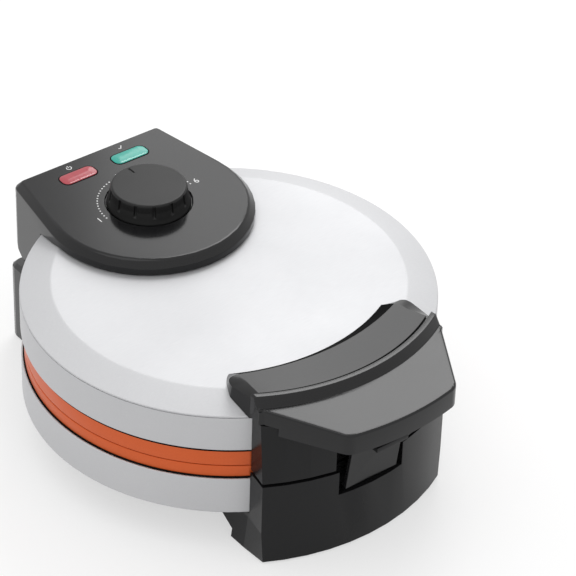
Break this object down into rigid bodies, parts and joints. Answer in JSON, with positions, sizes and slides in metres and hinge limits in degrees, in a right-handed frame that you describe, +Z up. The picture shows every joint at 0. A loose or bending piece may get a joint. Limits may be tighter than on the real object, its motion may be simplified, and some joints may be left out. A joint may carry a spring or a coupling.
{
  "type": "waffle maker",
  "caption": "Round countertop waffle maker with a hinged steel lid, deep-grid plates, a latched front handle and a temperature knob on a rear panel.",
  "frame": {"origin": "on the table, under the middle of the bounding box", "axes": "+Z up, +Y from the front handle to the hinge at the back, +X to the right of someone who faces the handle"},
  "size_m": [0.212, 0.269, 0.1069],
  "materials": {
    "satin_steel": "satin stainless steel",
    "copper_coat": "satin copper-coloured ceramic coating on cast aluminium",
    "gloss_black": "glossy black moulding",
    "matte_black": "matte black moulding",
    "knob_black": "fine satin black moulding",
    "red_lens": "clear red plastic",
    "green_lens": "clear green plastic",
    "heater_tube": "heat-darkened steel tube",
    "plated_sheet": "bright plated sheet",
    "pin_steel": "bright drawn steel",
    "rubber": "black rubber",
    "ceramic": "unglazed ceramic",
    "board": "fibre board",
    "lamp_glass": "small glass lamp"
  },
  "bodies": {
    "base": {"base_ring": "satin_steel", "base_pan": "matte_black", "front_foot": "gloss_black", "rear_housing": "gloss_black", "cord_gland": "rubber", "terminal_block": "ceramic", "hinge_pin": "pin_steel", "lower_plate": "copper_coat", "lower_heater": "heater_tube", "lower_reflector": "plated_sheet", "pad_front_left": "rubber", "pad_front_right": "rubber", "pad_rear_left": "rubber", "pad_rear_right": "rubber", "base_screw_1": "pin_steel", "base_screw_2": "pin_steel", "base_screw_3": "pin_steel", "base_screw_4": "pin_steel", "foot_screw_1": "pin_steel", "foot_screw_2": "pin_steel", "foot_screw_3": "pin_steel", "foot_screw_4": "pin_steel"},
    "lid": {"lid_cover": "satin_steel", "upper_plate": "copper_coat", "upper_heater": "heater_tube", "upper_reflector": "plated_sheet", "control_housing": "gloss_black", "power_lens": "red_lens", "ready_lens": "green_lens", "lamp_board": "board", "power_lamp": "lamp_glass", "ready_lamp": "lamp_glass", "thermostat": "plated_sheet", "lid_handle": "gloss_black", "handle_block": "gloss_black", "handle_screw_left": "pin_steel", "handle_screw_right": "pin_steel", "latch_pin": "pin_steel"},
    "knob": {"temperature_knob": "knob_black", "knob_shaft": "pin_steel"},
    "latch": {"latch": "gloss_black", "latch_spring": "pin_steel"}
  },
  "joints": [
    {"name": "lid_hinge", "type": "hinge", "parent": "base", "child": "lid", "pos_m": [0, 0.1225, 0.064], "axis": [-1, 0, 0], "range_deg": [0, 100]},
    {"name": "knob_turn", "type": "hinge", "parent": "lid", "child": "knob", "pos_m": [0, 0.0775, 0.0967], "axis": [0, 0, 1], "range_deg": [-90, 90]},
    {"name": "latch_swing", "type": "hinge", "parent": "lid", "child": "latch", "pos_m": [0, -0.1064, 0.08], "axis": [-1, 0, 0], "range_deg": [0, 9], "stiffness_Nm_per_rad": 0.1, "springref_deg": -5.73}
  ]
}
